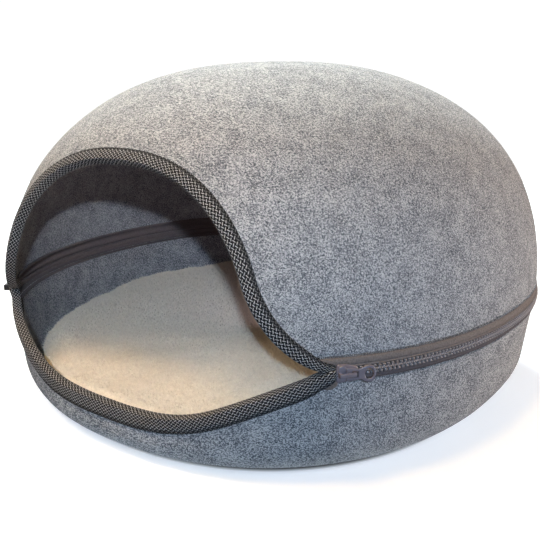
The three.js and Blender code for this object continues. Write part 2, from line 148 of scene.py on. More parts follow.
def cubicPoints(corners, count):
    share = np.linspace(0, 1, count)[:, None]
    a, b, c, d = np.array(corners, float)
    left = (1 - share) ** 2 * ((1 - share) * a + 3 * share * b)
    return left + share ** 2 * (3 * (1 - share) * c + share * d)


# a doorway edge from the left corner over the middle to the right one, at even steps
def doorwayPath(curves, face, alongAt, keep, step):
    half = np.vstack([cubicPoints(rows, 600) for rows in curves])
    half = half[np.r_[True, np.diff(half[:, 0]) > 1e-9]]
    half = half[keep(half)]
    both = np.vstack([half[:0:-1] * [-1, 1], half])
    turn, along = np.radians(both[:, 0]), alongAt(both[:, 1])
    gone = np.linalg.norm(np.diff(face(turn, along), axis=0), axis=1)
    length = np.r_[0, np.cumsum(gone)]
    at = np.linspace(0, length[-1], int(round(length[-1] / step)) + 1)
    return np.interp(at, length, turn), np.interp(at, length, along), at


# points round the zip at even steps, from one turn to another
def zipPath(startTurn, endTurn, step):
    turn = np.radians(np.linspace(startTurn, endTurn, 4000))
    x, y = planPoint(turn, 0)
    length = np.r_[0, np.cumsum(np.hypot(np.diff(x), np.diff(y)))]
    at = np.linspace(0, length[-1], int(round(length[-1] / step)) + 1)
    return np.interp(at, length, turn), at


def gridFaces(count, width, closeRound, closeAcross):
    i = np.arange(count if closeRound else count - 1)[:, None]
    j = np.arange(width if closeAcross else width - 1)[None, :]
    here, after, beside = i * width, ((i + 1) % count) * width, (j + 1) % width
    return np.stack([here + j, after + j, after + beside, here + beside], -1).reshape(-1, 4)


# a tube of count rings, closed at both ends
def tubeFaces(count, width):
    ends = [list(range(width)), [(count - 1) * width + k for k in reversed(range(width))]]
    return gridFaces(count, width, False, True).tolist() + ends


# a mesh from points and faces, its doubles merged and its faces outwards
def closedMesh(name, points, faces, strip=None):
    mesh = bpy.data.meshes.new(name)
    places = np.asarray(points, float).reshape(-1, 3).tolist()
    mesh.from_pydata(places, [], [list(face) for face in faces])
    if strip is not None:
        storeVectors(mesh, "strip", strip)
    shape = bmesh.new()
    shape.from_mesh(mesh)
    bmesh.ops.remove_doubles(shape, verts=shape.verts, dist=1e-6)
    if shape.calc_volume(signed=True) < 0:
        bmesh.ops.reverse_faces(shape, faces=shape.faces)
    shape.to_mesh(mesh)
    shape.free()
    mesh.shade_smooth()
    return mesh


def storeVectors(mesh, label, values):
    stored = mesh.attributes.new(label, "FLOAT_VECTOR", "POINT")
    stored.data.foreach_set("vector", np.asarray(values, np.float32).ravel())


def meshPoints(mesh):
    points = np.zeros(len(mesh.vertices) * 3)
    mesh.vertices.foreach_get("co", points)
    return points.reshape(-1, 3)


def addObject(name, mesh, finish=None):
    made = bpy.data.objects.new(name, mesh)
    bpy.context.scene.collection.objects.link(made)
    if finish:
        mesh.materials.clear()
        mesh.materials.append(finish)
    return made


def addPiece(name, mesh, finish, slot, *nodes):
    piece = addObject(name, mesh, finish)
    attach(piece, "root")
    if nodes:
        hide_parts(*nodes)
    return piece


# slow unevenness of a soft face, in metres
def unevenness(points, wave, amount, seed):
    shift = Vector((seed, seed * 1.7, seed * 2.3))
    flat = np.asarray(points).reshape(-1, 3) / wave
    values = [noise.noise(Vector(point) + shift) for point in flat]
    return amount * np.array(values).reshape(np.asarray(points).shape[:-1])


# one socket of a node tree, so that maths on it reads as an expression
class Wire:
    def __init__(self, tree, socket=None):
        self.tree, self.socket = tree, socket

    # any node: its settings come first, then the values or links of its sockets
    def node(self, kind, settings=None, sockets=None, out=0):
        made = self.tree.nodes.new(kind)
        for name, value in (settings or {}).items():
            if name == "stops":
                ramp = made.color_ramp.elements
                while len(ramp) < len(value):
                    ramp.new(0.5)
                for stop, (place, color) in zip(ramp, value):
                    stop.position, stop.color = place, (*color, 1)
            else:
                setattr(made, name, value)
        for name, value in (sockets or {}).items():
            target = made.inputs[name]
            if isinstance(value, Wire):
                self.tree.links.new(value.socket, target)
            else:
                target.default_value = value
        return Wire(self.tree, made.outputs[out]) if len(made.outputs) else None

    def math(self, operation, *values):
        return self.node("ShaderNodeMath", {"operation": operation}, dict(enumerate(values)))

    def __add__(self, other):
        return self.math("ADD", self, other)

    def __sub__(self, other):
        return self.math("SUBTRACT", self, other)

    def __mul__(self, other):
        return self.math("MULTIPLY", self, other)

    def __truediv__(self, other):
        return self.math("DIVIDE", self, other)

    def __rsub__(self, other):
        return self.math("SUBTRACT", other, self)

    __radd__, __rmul__ = __add__, __mul__

    # the three parts of a vector
    def parts(self):
        split = self.node("ShaderNodeSeparateXYZ", {}, {"Vector": self})
        return [Wire(self.tree, socket) for socket in split.socket.node.outputs]

    # from 0 at low to 1 at high, with soft ends
    def rise(self, low, high):
        span = {"Value": self, "From Min": low, "From Max": high}
        return self.node("ShaderNodeMapRange", {"interpolation_type": "SMOOTHSTEP"}, span)

    # from one colour to another by this value
    def blend(self, first, second):
        first, second = ((*side, 1) if isinstance(side, tuple) else side for side in (first, second))
        return self.node("ShaderNodeMix", {"data_type": "RGBA"}, {0: self, 6: first, 7: second}, 2)

    def noise(self, scale, detail=2.0, roughness=0.5, distortion=0.0):
        sockets = {"Scale": scale, "Detail": detail, "Roughness": roughness, "Distortion": distortion}
        return self.node("ShaderNodeTexNoise", {}, {"Vector": self, **sockets})


# an empty finish, a wire to build it on and the place on the piece
def newFinish(name):
    finish = bpy.data.materials.new(name)
    finish.use_nodes = True
    finish.node_tree.nodes.clear()
    start = Wire(finish.node_tree)
    return finish, start, start.node("ShaderNodeTexCoord", out="Object")


# a strip's own length, width and mark, stored on its points
def stripParts(start):
    return start.node("ShaderNodeAttribute", {"attribute_name": "strip"}, out="Vector").parts()


# the surface of a finish: base colour, roughness and height vary, the rest is fixed
def setSurface(start, color, roughness, height, depth, strength, fixed):
    bump = start.node("ShaderNodeBump", {}, {"Height": height, "Distance": depth, "Strength": strength})
    sockets = {"Base Color": color, "Roughness": roughness, "Normal": bump, **fixed}
    shader = start.node("ShaderNodeBsdfPrincipled", {}, sockets)
    start.node("ShaderNodeOutputMaterial", {}, {"Surface": shader})


feltLook = {
    "tones": [(0.1, (0.082, 0.088, 0.098)), (0.5, (0.275, 0.279, 0.287)), (0.92, (0.56, 0.555, 0.545))],
    "grain": 760.0,
    "grainShare": 1.9,
    "speck": 1500.0,
    "speckShare": 1.9,
    "fibre": 1500.0,
    "fibreShare": 2.9,
    "fibreStretch": 0.22,
    "fibreTurns": ((0.3, 0.5, 0.2), (1.2, -0.4, 1.1), (-0.7, 0.9, 2.2)),  # short fibres lie three ways
    "clouds": 70.0,
    "cloudShare": 0.5,
    "depth": 0.0006,
    "relief": 0.55,
    "domeContrast": 1.0,
    "baseContrast": 1.38,
}


def feltFinish(name, contrast):
    finish, start, place = newFinish(name)
    look = feltLook
    grain = place.noise(look["grain"], 3.0, 0.62)
    speck = place.noise(look["speck"], 1.0, 0.5)
    streaks = []
    for turned in look["fibreTurns"]:
        bent = {"Vector": place, "Rotation": turned, "Scale": (look["fibreStretch"], 1.0, 1.0)}
        streaks.append(start.node("ShaderNodeMapping", {}, bent).noise(look["fibre"], 1.0, 0.5, 0.6))
    fibre = start.math("MAXIMUM", start.math("MAXIMUM", streaks[0], streaks[1]), streaks[2])
    strand = (streaks[0] + streaks[1] + streaks[2]) / 3.0
    clouds = place.noise(look["clouds"], 2.0, 0.5)
    mixed = (grain - 0.5) * look["grainShare"] + (strand - 0.5) * look["fibreShare"]
    mixed = mixed + (speck - 0.5) * look["speckShare"] + (clouds - 0.5) * look["cloudShare"]
    tone = mixed * contrast + 0.5
    color = start.node("ShaderNodeValToRGB", {"stops": look["tones"]}, {"Fac": tone})
    height = tone * 0.7 + fibre * 0.6
    fixed = {"Specular IOR Level": 0.15, "Sheen Weight": 0.04, "Sheen Roughness": 0.6}
    setSurface(start, color, 0.95 - tone * 0.08, height, look["depth"], look["relief"], fixed)
    return finish


bandLook = {
    # ground: the dark yarn between the threads, made near black so that it also holds the gaps' shade, partly
    # painted shade
    "ground": (0.006, 0.0056, 0.006),
    "thread": (0.5, 0.48, 0.465),
    "along": 0.0038,
    "across": 0.0026,
    "threadHalf": 0.115,
    "threadSoft": 0.05,
    # under: share of brightness a thread keeps where it dips under the next, painted shade in the dip
    "under": 0.08,
    "shake": 0.28,
    "shakeScale": 900.0,
    "fray": 2600.0,
    "selvage": 0.3,
    "depth": 0.0004,
}


# the diagonal threads of the woven band, from the strip's own length and width
def bandFinish():
    finish, start, place = newFinish("wovenBand")
    look = bandLook
    # kept also falls in the seam's groove, where the threads get painted shade
    length, width, kept = stripParts(start)  # kept is 1 on the lattice and 0 on the selvage
    shake = (place.noise(look["shakeScale"], 1.0) - 0.5) * look["shake"]
    first = length / look["along"] + width / look["across"] + shake
    second = length / look["along"] - width / look["across"] - shake
    inner, outer = look["threadHalf"] - look["threadSoft"], look["threadHalf"] + look["threadSoft"]
    threads = []
    for here, other, side in ((first, second, 1.0), (second, first, -1.0)):
        shown = 1.0 - start.math("ABSOLUTE", start.math("FRACT", here) - 0.5).rise(inner, outer)
        wave = start.math("COSINE", (other - 0.5 + start.math("FLOOR", here)) * math.pi)
        # a thread fades towards the ground as it dips: painted shade
        over = (wave * side).rise(-0.3, 0.6)  # over one thread, under the next
        threads.append(shown * (over * (1 - look["under"]) + look["under"]))
    thread = start.math("MAXIMUM", *threads)
    fray = place.noise(look["fray"], 2.0)
    # threads are dimmed on the selvage, and in the seam's groove as painted shade
    pale = thread * (0.6 + fray * 0.8) * (look["selvage"] + kept * (1 - look["selvage"]))
    color = start.math("MINIMUM", pale, 1.0).blend(look["ground"], look["thread"])
    height = thread + fray * 0.2
    setSurface(start, color, 0.82 - thread * 0.14, height, look["depth"], 0.5, {"Specular IOR Level": 0.3})
    return finish


tapeLook = {
    "upper": ((0.074, 0.062, 0.058), (0.205, 0.172, 0.154)),
    # the lower tape's front: the same cloth painted darker, painted shade as it faces down; its back keeps
    # the back's tone
    "lower": ((0.045, 0.039, 0.042), (0.1, 0.086, 0.09)),
    "back": ((0.082, 0.068, 0.063), (0.185, 0.153, 0.142)),
    "rib": 0.00072,
    "slant": 0.9,
    "fray": 950.0,
    "ribShare": 0.35,
    "weftShare": 0.2,
    "frayShare": 1.5,
    "least": 0.3,
    "depth": 0.0003,
}


# a fine twill
def tapeFinish(name, shade, cloth):
    finish, start, place = newFinish(name)
    look = tapeLook
    length, width, behind = stripParts(start)  # behind is 1 on the back of the tape
    rib = start.math("SINE", (length + width * look["slant"]) / look["rib"] * (2 * math.pi)) * 0.5 + 0.5
    weft = start.math("SINE", width / look["rib"] * (2.6 * math.pi)) * 0.5 + 0.5
    fray = place.noise(look["fray"], 2.0)
    tone = rib * look["ribShare"] + weft * look["weftShare"]
    tone = tone + (fray - 0.5) * look["frayShare"] + look["least"]
    color = behind.blend(tone.blend(shade, cloth), tone.blend(*look["back"]))
    setSurface(start, color, 0.8 - fray * 0.1, tone, look["depth"], 0.5, {"Specular IOR Level": 0.3})
    return finish


# low and high colour and least roughness
plasticLook = {
    "zipTeeth": ((0.135, 0.112, 0.106), (0.26, 0.218, 0.205), 0.24),
    "sliderPlastic": ((0.128, 0.106, 0.12), (0.235, 0.2, 0.22), 0.14),
    "endPlastic": ((0.008, 0.008, 0.009), (0.02, 0.019, 0.02), 0.3),
    "sewingThread": ((0.02, 0.019, 0.02), (0.06, 0.057, 0.056), 0.7),
}


def plasticFinish(name):
    finish, start, place = newFinish(name)
    low, high, rough = plasticLook[name]
    cloud, fine = place.noise(160.0, 2.0), place.noise(1800.0, 2.0)
    color = (cloud * 0.7 + fine * 0.3).blend(low, high)
    setSurface(start, color, rough + fine * 0.16, fine, 0.0001, 0.35, {"Specular IOR Level": 0.75})
    return finish


fleeceLook = {
    "low": (0.58, 0.495, 0.375),
    "high": (0.89, 0.8, 0.645),
    "curl": 260.0,
    "curlShare": 1.0,
    "fineShare": 1.1,
    "middle": 0.62,
    "depth": 0.0012,
}


def fleeceFinish():
    finish, start, place = newFinish("creamFleece")
    look = fleeceLook
    curl = place.noise(look["curl"], 3.0, 0.6)
    fine = place.noise(look["curl"] * 4, 2.0)
    tone = (curl - 0.5) * look["curlShare"] + (fine - 0.5) * look["fineShare"] + look["middle"]
    color = start.math("MINIMUM", tone, 1.0).blend(look["low"], look["high"])
    fixed = {"Specular IOR Level": 0.12, "Sheen Weight": 0.35, "Sheen Roughness": 0.5}
    setSurface(start, color, 0.97 - fine * 0.05, curl + fine * 0.5, look["depth"], 0.6, fixed)
    return finish


domeFelt = feltFinish("domeFelt", feltLook["domeContrast"])
baseFelt = feltFinish("baseFelt", feltLook["baseContrast"])
wovenBand, creamFleece = bandFinish(), fleeceFinish()
upperCloth = tapeFinish("upperCloth", *tapeLook["upper"])
# the lower tape's finish carries painted shade on its front
lowerCloth = tapeFinish("lowerCloth", *tapeLook["lower"])
toothPlastic, sliderPlastic = plasticFinish("zipTeeth"), plasticFinish("sliderPlastic")
endPlastic, sewingThread = plasticFinish("endPlastic"), plasticFinish("sewingThread")
print("finishes made")

feltMesh = {
    "edgeStep": 0.0034,
    "zipStep": 0.0052,
    "meanRadius": 0.234,
    "domeRows": 58,
    "wallRows": 30,
    "rowPower": 1.06,
    "floorShares": (0.93, 0.82, 0.68, 0.52, 0.35, 0.18, 0.0),
    "edgeRound": 0.0009,
    "wave": 0.085,
    "amount": 0.0011,
    "edgeFade": (0.012, 0.05),
    "floorFade": (0.004, 0.03),
    "domeSeed": 3.1,
    "baseSeed": 7.4,
    "domeCut": {"flat": (0.67, 0.683), "area": 0.282},
    "baseCut": {"flat": (0.567, 0.583), "area": 0.24},
}


# a felt shell: columns from a cut edge along the outer face to the end, and back on the inner face
def feltShell(name, face, curves, alongAt, keep, level, endAlong, rows, floorShares, seed):
    look = feltMesh
    turn, along, at = doorwayPath(curves, face, alongAt, keep, look["edgeStep"])
    corner = turn[-1]
    count = int((2 * math.pi - 2 * corner) * look["meanRadius"] / look["zipStep"])
    zipTurn = np.linspace(corner, 2 * math.pi - corner, count + 1)[1:-1]
    turn = np.r_[turn, zipTurn]
    along = np.r_[along, np.full(len(zipTurn), alongAt(np.array(level)))]
    share = np.linspace(0, 1, rows + 1) ** look["rowPower"]
    outerAlong = along[:, None] + (endAlong - along)[:, None] * share[None, :]
    columns = np.broadcast_to(turn[:, None], outerAlong.shape)
    outer = face(columns, outerAlong)
    outward = faceDirections(face, columns, outerAlong)[2]
    steps = np.linalg.norm(np.diff(outer, axis=1), axis=2)
    gone = np.concatenate([np.zeros((len(turn), 1)), np.cumsum(steps, 1)], 1)
    fade = smooth(gone, *look["edgeFade"])
    if floorShares:
        fade = fade * smooth(outer[..., 2], *look["floorFade"])
    bulge = unevenness(outer, look["wave"], look["amount"], seed) * fade
    outer = outer + outward * bulge[..., None]
    inner = outer - outward * cave["felt"]
    for part in floorShares:
        outer = np.concatenate([outer, outer[:, rows:rows + 1] * [part, part, 1]], 1)
        inner = np.concatenate([inner, inner[:, rows:rows + 1] * [part, part, 1]], 1)
    # the cut edge, a little rounded
    inward = unit(outer[:, 1] - outer[:, 0])[:, None]
    first, last = outer[:, :1], inner[:, :1]
    across = unit(last - first)
    middle = first + across * np.linalg.norm(last - first, axis=2, keepdims=True) / 2
    trim = look["edgeRound"]
    nick, side = trim * 0.35, trim * 1.2
    rim = [last + inward * trim, last - across * nick + inward * nick, last - across * side, middle,
           first + across * side, first + across * nick + inward * nick, first + inward * trim]
    loops = np.concatenate([outer[:, 1:], inner[:, :0:-1], *rim], 1)
    return closedMesh(name, loops, gridFaces(len(turn), loops.shape[1], True, True))


domeLevel = cave["zipHeight"] + cave["upperTapeShows"]
baseLevel = cave["zipHeight"] - cave["lowerTapeShows"]
domeMesh = feltShell("feltDome", domePoint, archCurves, riseAt, lambda half: half[:, 1] >= domeLevel,
                     domeLevel, math.pi / 2, feltMesh["domeRows"], (), feltMesh["domeSeed"])
baseMesh = feltShell("feltBase", basePoint, dipCurves, climbAt, lambda half: half[:, 1] <= baseLevel,
                     baseLevel, 0.0, feltMesh["wallRows"], feltMesh["floorShares"], feltMesh["baseSeed"])
feltDome = addPiece("feltDome", domeMesh, domeFelt, "felt", "felt_dome")
feltBase = addPiece("feltBase", baseMesh, baseFelt, "felt", "felt_base")
print("felt made")

band = {
    "thickness": 0.001,
    "gap": 0.0003,
    "archFace": 0.0095,
    "dipFace": 0.0108,
    "end": 47.2,
    "taper": 0.2,
    "taperTurns": (40, 45.4),
    "archLift": 0.0007,
    "dipLift": 0.0026,
    "liftTurns": (43.2, 46.4),
    "dipRise": 0.0032,
    "riseTurns": (42.0, 47.2),
    "roundEnd": 0.011,
    "endWidth": 0.55,
    "step": 0.00046,
    "faceSteps": 29,
    "foldSteps": 14,
    "backSteps": 9,
    "faceRound": 0.06,
    "backRound": 0.08,
    "foldPower": 0.7,
    "swell": 0.0006,
    "relief": 0.00032,
    "reliefSoft": 0.1,
    "groove": 0.24,
    "grooveDepth": 0.0006,
    "grooveHalf": 0.00045,
    "grooveSoft": 0.06,
    "archCut": (0.0275, 0.475),
    "dipCut": (0.030, 0.395),
}


# height of the woven threads, 0 to 1, over and under one another
def weaveRelief(length, width):
    first = length / bandLook["along"] + width / bandLook["across"]
    second = length / bandLook["along"] - width / bandLook["across"]
    heights = []
    for here, other, side in ((first, second, 0.3), (second, first, -0.3)):
        off = np.abs(here % 1 - 0.5) / (bandLook["threadHalf"] + band["reliefSoft"])
        wave = np.cos((other - 0.5 + np.floor(here)) * math.pi)
        heights.append(np.sqrt(np.maximum(0, 1 - off ** 2)) * (0.7 + side * wave))
    return np.maximum(*heights)


# the band's section from its outer edge over the fold to its back, in rows of
# reach as a share of the face, fixed reach and lift
def bandSection():
    look = band
    gap, thick, half = look["gap"], look["thickness"], cave["felt"] / 2
    out, back = gap + thick, -cave["felt"] - gap
    share = np.linspace(0, 1, look["faceSteps"])
    faceLift = gap + thick * np.sqrt(np.minimum(1, share / look["faceRound"] + 0.05))
    faceLift = faceLift + look["swell"] * np.maximum(0, np.sin(math.pi * share)) ** 0.8
    bend = np.linspace(math.pi / 2, -math.pi / 2, look["foldSteps"])[1:-1]
    foldReach = out * np.abs(np.cos(bend)) ** look["foldPower"]
    foldLift = -half + (half + out) * signedPower(np.sin(bend), look["foldPower"])
    backShare = np.linspace(1, 0, look["backSteps"])
    backLift = back - thick * np.sqrt(np.minimum(1, backShare / look["backRound"] + 0.05))
    rows = [(value - 1, 0.0, lift) for value, lift in zip(share, faceLift)]
    rows += [(0.0, reach, lift) for reach, lift in zip(foldReach, foldLift)]
    rows += [(value - 1, 0.0, lift) for value, lift in zip(backShare, backLift)]
    shown = len(rows)
    rows += [(-1.0, 0.0, back), (0.0, gap, back), (0.0, gap, gap), (-1.0, 0.0, gap)]
    return np.array(rows), shown


# a woven band folded over a doorway edge, and the line and facing of its seam
def foldedBand(name, curves, face, alongAt, side, faceWidth, endLift):
    look = band
    turn, along, at = doorwayPath(curves, face, alongAt, lambda half: half[:, 0] <= look["end"], look["step"])
    degrees = np.abs(np.degrees(turn))
    if side < 0:  # the dip's ends climb over the arch's
        along = along + look["dipRise"] * smooth(degrees, *look["riseTurns"])
    outward = faceDirections(face, turn, along)[2]
    opening = unit(np.cross(np.gradient(face(turn, along), axis=0), outward)) * side
    wide = faceWidth * (1 - look["taper"] * smooth(degrees, *look["taperTurns"]))
    left = np.minimum(at, at[-1] - at) / look["roundEnd"]  # how much is left to the nearer end
    wide = (wide * (1 - (1 - look["endWidth"]) * np.maximum(0, 1 - left) ** 2))[:, None]
    section, shown = bandSection()
    reach = wide * section[None, :, 0] + section[None, :, 1]
    lift = np.broadcast_to(section[None, :, 2], reach.shape).copy()
    flat = np.stack([faceWidth * section[:, 0] + section[:, 1], section[:, 2]], 1)
    width = np.r_[0, np.cumsum(np.linalg.norm(np.diff(flat, axis=0), axis=1))]
    length, width = np.meshgrid(at, width, indexing="ij")
    column = np.arange(reach.shape[1])[None, :]
    onFront = column < look["faceSteps"]
    share = reach / np.maximum(wide, 1e-9) + 1  # 0 at the outer edge, 1 at the fold
    groove = np.exp(-((share - look["groove"]) * wide / look["grooveHalf"]) ** 2) * onFront
    lattice = np.where(onFront, smooth(share, look["groove"], look["groove"] + look["grooveSoft"]), 1.0)
    relief = weaveRelief(length, width) * look["relief"] * (column < shown)
    outer = np.where(lift > -cave["felt"] / 2, 1, -1)
    lift += outer * relief * (0.5 + 0.5 * lattice) - groove * look["grooveDepth"]
    lift += (endLift * smooth(degrees, *look["liftTurns"]))[:, None]
    spots = walkFace(face, turn[:, None], along[:, None], opening[:, None, :] * reach[..., None])
    points = liftedPoint(face, spots[0], spots[1], lift)
    # the third part dims the threads on the selvage and in the seam's groove; in the groove it is painted
    # shade
    strip = np.stack([length, width, lattice * (1 - groove)], -1)
    mesh = closedMesh(name, points, tubeFaces(*reach.shape), strip)
    nearest = np.abs(share - look["groove"])[:, :look["faceSteps"]].argmin(1)
    return mesh, points[np.arange(len(points)), nearest], outward


archMesh, archSeam, archOut = foldedBand("archBand", archCurves, domePoint, riseAt, 1,
                                         band["archFace"], band["archLift"])
dipMesh, dipSeam, dipOut = foldedBand("dipBand", dipCurves, basePoint, climbAt, -1,
                                      band["dipFace"], band["dipLift"])
archBand = addPiece("archBand", archMesh, wovenBand, "binding", "arch_binding")
dipBand = addPiece("dipBand", dipMesh, wovenBand, "binding", "dip_binding")
print("bindings made")

tape = {
    "thickness": 0.0008,
    "upperLap": 0.003,
    "lowerLap": 0.0012,
    "upperInside": 0.0067,
    "lowerInside": 0.0082,
    "proud": 0.0005,
    "start": 44.6,
    "step": 0.0021,
    "chainHalf": 0.0026,
    "toothGap": 0.0004,
    "cord": 0.0012,
    "cordRise": 0.0007,
    "groove": 0.0006,
    "flap": (-0.0011, -0.0017),
    "upperCut": (0.023, 1.14),
    "lowerCut": (0.021, 1.14),
}


# one zip tape: side is 1 above the teeth and -1 below
def tapeMesh(name, side, inside, shows, lap):
    look = tape
    turn, at = zipPath(look["start"], 360 - look["start"], look["step"])
    proud, rise, dip = look["proud"], look["cordRise"], look["proud"] - look["groove"]
    edge = look["chainHalf"] + look["toothGap"]
    top = edge + look["cord"]
    # out from the zip's line and away from its middle: behind the felt, over the front, then a cord
    bends = [(-inside, shows + lap), (-inside, shows + 0.0008), (-inside + 0.0006, shows),
             (-inside * 0.5, shows - 0.0005), (-0.0006, shows - 0.001), (proud - 0.0002, shows - 0.0019),
             (proud, top + 0.0012), (proud, top + 0.0005), (dip, top + 0.0002), (dip, top),
             (proud + rise * 0.8, top - 0.0003), (proud + rise, edge + look["cord"] / 2),
             (proud + rise * 0.5, edge)]
    outer = [(out + look["thickness"] / 2, away) for out, away in bends]
    inner = [(out - look["thickness"] / 2, away) for out, away in reversed(bends[:7])]
    front, back = look["flap"]  # behind the teeth the tape runs on to the middle
    flap = [(front, edge), (front, 0.0003), (back, 0.0003), (back, edge + 0.001)]
    section = np.array(outer + flap + inner)
    length = np.r_[0, np.cumsum(np.linalg.norm(np.diff(section, axis=0), axis=1))]
    x, y = planPoint(turn[:, None], -section[None, :, 0])
    z = np.broadcast_to(cave["zipHeight"] + side * section[:, 1], x.shape)
    along, across = np.meshgrid(at, length, indexing="ij")
    behind = np.broadcast_to(np.arange(x.shape[1]) >= len(outer) + 2, along.shape)
    strip = np.stack([along, across, behind], -1)
    return closedMesh(name, np.stack([x, y, z], -1), tubeFaces(*x.shape), strip)


upperMesh = tapeMesh("upperTape", 1, tape["upperInside"], cave["upperTapeShows"], tape["upperLap"])
lowerMesh = tapeMesh("lowerTape", -1, tape["lowerInside"], cave["lowerTapeShows"], tape["lowerLap"])
upperTape = addPiece("upperTape", upperMesh, upperCloth, "zip_tape", "zip_tape_upper")
lowerTape = addPiece("lowerTape", lowerMesh, lowerCloth, "zip_tape", "zip_tape_lower")

tab = {
    "turn": 46.2,
    "height": 0.0795,
    "halfLong": 0.0068,
    "halfHigh": 0.005,
    "lift": 0.0012,
    "rings": (0, 0.4, 0.75, 0.93, 1),
    "columns": 32,
}


# the folded end of the tape beside the slider: an oval flap on the base
def tabMesh():
    around = np.linspace(0, 2 * math.pi, tab["columns"], False)[:, None]
    share = np.array(tab["rings"])[None, :]
    length, width = tab["halfLong"] * share * np.cos(around), tab["halfHigh"] * share * np.sin(around)
    turn = math.radians(tab["turn"]) + length / cave["halfDepth"]
    along = climbAt(np.array(tab["height"])) + width
    front = liftedPoint(basePoint, turn, along, tab["lift"] + tape["thickness"] * (1 - share ** 6))
    back = liftedPoint(basePoint, turn, along, tab["lift"])
    strip = np.stack([length, width, 0 * length], -1)
    points, strip = (np.concatenate([a, b[:, -2::-1]], 1) for a, b in ((front, back), (strip, strip)))
    return closedMesh("tapeTab", points, gridFaces(tab["columns"], points.shape[1], True, False), strip)


tapeTab = addPiece("tapeTab", tabMesh(), upperCloth, "zip_tape")
print("tapes made")


# a new node tree with named inputs: the tree, a wire to build on and the inputs by name
def newTree(name, inputs):
    tree = bpy.data.node_groups.new(name, "GeometryNodeTree")
    tree.interface.new_socket("Geometry", in_out="INPUT", socket_type="NodeSocketGeometry")
    for label, kind in inputs.items():
        tree.interface.new_socket(label, in_out="INPUT", socket_type="NodeSocket" + kind)
    tree.interface.new_socket("Geometry", in_out="OUTPUT", socket_type="NodeSocketGeometry")
    given = tree.nodes.new("NodeGroupInput")
    return tree, Wire(tree), {socket.name: Wire(tree, socket) for socket in given.outputs if socket.name}


def chance(start, low, high, seed):
    return start.node("FunctionNodeRandomValue", {"data_type": "FLOAT"}, {2: low, 3: high, "Seed": seed}, 1)


# a rotation turned further about its own axes
def turnedBy(start, rotation, angles):
    euler = start.node("ShaderNodeCombineXYZ", {}, angles)
    by = start.node("FunctionNodeEulerToRotation", {}, {"Euler": euler})
    sockets = {"Rotation": rotation, "Rotate By": by}
    return start.node("FunctionNodeRotateRotation", {"rotation_space": "LOCAL"}, sockets)


# sets the shape on points, makes it real and gives it its finish
def placeShapes(start, given, sockets):
    shape = start.node("GeometryNodeObjectInfo", {}, {"Object": given["Shape"]}, "Geometry")
    placed = start.node("GeometryNodeInstanceOnPoints", {}, {"Instance": shape, **sockets})
    real = start.node("GeometryNodeRealizeInstances", {}, {"Geometry": placed})
    done = start.node("GeometryNodeSetMaterial", {}, {"Geometry": real, "Material": given["Finish"]})
    start.node("NodeGroupOutput", {}, {"Geometry": done})


# sets one shape along a path, pitch apart: its X along the path, its Z outwards,
# every other one turned by flip
def pathTree():
    tree, start, given = newTree("alongPath", {"Shape": "Object", "Pitch": "Float", "Flip": "Float",
                                               "Jitter": "Float", "Seed": "Int", "Finish": "Material"})
    curve = start.node("GeometryNodeMeshToCurve", {}, {"Mesh": given["Geometry"]})
    spaced = start.node("GeometryNodeResampleCurve", {"mode": "LENGTH"},
                        {"Curve": curve, "Length": given["Pitch"]})
    outward = start.node("GeometryNodeInputNamedAttribute", {"data_type": "FLOAT_VECTOR"},
                         {"Name": "outward"})
    tangent = start.node("GeometryNodeInputTangent")
    facing = start.node("FunctionNodeAlignRotationToVector", {"axis": "Z"}, {"Vector": outward})
    facing = start.node("FunctionNodeAlignRotationToVector", {"axis": "X", "pivot_axis": "Z"},
                        {"Rotation": facing, "Vector": tangent})
    odd = start.math("MODULO", start.node("GeometryNodeInputIndex"), 2.0)
    spin = odd * given["Flip"] + chance(start, -1.0, 1.0, given["Seed"]) * given["Jitter"]
    placeShapes(start, given, {"Points": spaced, "Rotation": turnedBy(start, facing, {"Z": spin})})
    return tree


# scatters one shape over a face, upright on it, leaning and turned by chance, larger in tufts
def scatterTree():
    tree, start, given = newTree("scatter", {"Shape": "Object", "Density": "Float", "Lean": "Float",
                                             "Least height": "Float", "Tufts": "Float", "Seed": "Int",
                                             "Finish": "Material"})
    height = start.node("GeometryNodeInputPosition").parts()[2]
    high = start.node("FunctionNodeCompare", {"operation": "GREATER_THAN"},
                      {0: height, 1: given["Least height"]})
    spread = start.node("GeometryNodeDistributePointsOnFaces", {"distribute_method": "RANDOM"},
                        {"Mesh": given["Geometry"], "Selection": high, "Density": given["Density"],
                         "Seed": given["Seed"]})
    upright = Wire(tree, spread.socket.node.outputs["Rotation"])
    lean, roll = (chance(start, -1.0, 1.0, seed) * given["Lean"] for seed in (21, 22))
    facing = turnedBy(start, upright, {"Z": chance(start, 0.0, 6.283, 23)})
    facing = turnedBy(start, facing, {"X": lean, "Y": roll})
    tuft = start.node("GeometryNodeInputPosition").noise(given["Tufts"], 2.0) * 1.1 + 0.45
    size = chance(start, 0.65, 1.2, 24) * tuft
    placeShapes(start, given, {"Points": spread, "Rotation": facing, "Scale": size})
    return tree


def setInputs(piece, tree, values):
    modifier = piece.modifiers.new("nodes", "NODES")
    modifier.node_group = tree
    names = {item.name: item.identifier for item in tree.interface.items_tree if item.in_out == "INPUT"}
    for name, value in values.items():
        modifier[names[name]] = value


# the evaluated result as a plain mesh, with the helper removed
def plainMesh(piece, name):
    graph = bpy.context.evaluated_depsgraph_get()
    mesh = bpy.data.meshes.new_from_object(piece.evaluated_get(graph), depsgraph=graph)
    mesh.name = name
    bpy.data.objects.remove(piece)
    return mesh


alongPath, scatter = pathTree(), scatterTree()


def repeatAlong(name, points, outward, shape, pitch, flip, jitter, finish):
    mesh = bpy.data.meshes.new(name)
    mesh.from_pydata(points.tolist(), [(k, k + 1) for k in range(len(points) - 1)], [])
    storeVectors(mesh, "outward", outward)
    piece = addObject(name, mesh)
    values = {"Shape": shape, "Pitch": pitch, "Flip": flip, "Jitter": jitter, "Seed": 5, "Finish": finish}
    setInputs(piece, alongPath, values)
    made = plainMesh(piece, name)
    made.shade_smooth()
    return made


